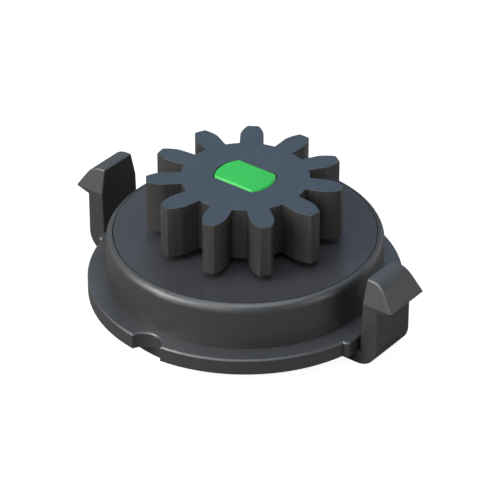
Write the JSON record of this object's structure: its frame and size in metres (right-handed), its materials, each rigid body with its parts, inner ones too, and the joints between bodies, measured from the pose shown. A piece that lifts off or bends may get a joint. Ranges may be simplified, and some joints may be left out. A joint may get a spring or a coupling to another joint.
{
  "type": "rotary damper",
  "caption": "Snap-in rotary damper: a sealed round cup with two barbed hooks and a slow-turning toothed wheel on top.",
  "frame": {"origin": "on the shaft's axis at the flat bottom face of the housing", "axes": "+Z along the shaft towards the gear, +X through one snap hook, and the index notch on -Y"},
  "size_m": [0.0262, 0.021, 0.0095],
  "materials": {
    "housing_plastic": "satin moulded",
    "cap_plastic": "satin moulded",
    "rotor_plastic": "satin moulded",
    "seal_rubber": "smooth elastic",
    "gear_plastic": "satin moulded"
  },
  "bodies": {
    "housing": {"housing": "housing_plastic", "cap": "cap_plastic", "shaft_seal": "seal_rubber"},
    "rotor": {"rotor": "rotor_plastic", "gear": "gear_plastic"}
  },
  "joints": [
    {"name": "rotor_spin", "type": "hinge", "parent": "housing", "child": "rotor", "pos_m": [0, 0, 0.00754], "axis": [0, 0, 1], "continuous": true}
  ]
}
